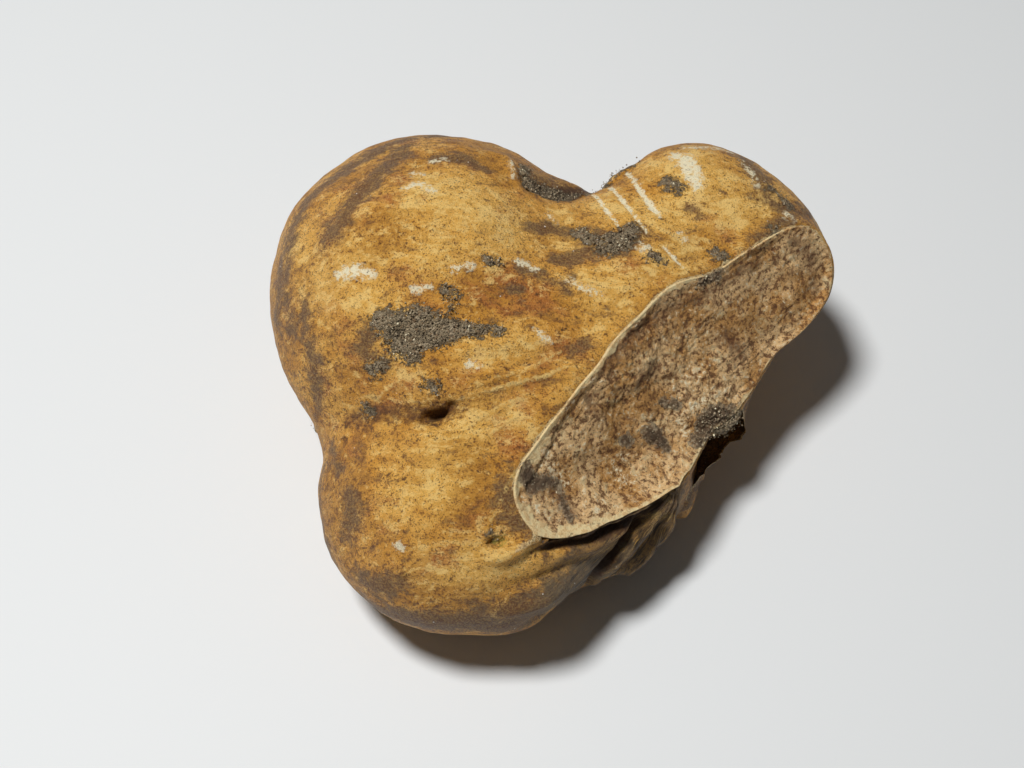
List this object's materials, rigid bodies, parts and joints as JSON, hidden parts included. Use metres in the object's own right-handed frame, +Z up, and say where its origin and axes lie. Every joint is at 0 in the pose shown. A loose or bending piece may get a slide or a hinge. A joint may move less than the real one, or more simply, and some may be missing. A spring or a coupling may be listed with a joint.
{
  "type": "white truffle",
  "caption": "Whole white truffle with three rounded lobes, an old break that bares the flesh inside a raised rim of skin, folds, pits and caked earth.",
  "frame": {"origin": "centre of the truffle's bounding box, at the level it rests on", "axes": "+Z up; +X along the longest extent, towards the far lobe's shoulder; -Y towards the front lobe"},
  "size_m": [0.0614, 0.056, 0.0308],
  "materials": {
    "truffle_skin": "dull ochre-brown natural skin, slightly waxy, with earth on it"
  },
  "bodies": {
    "root": {"truffle": "truffle_skin"}
  },
  "joints": []
}
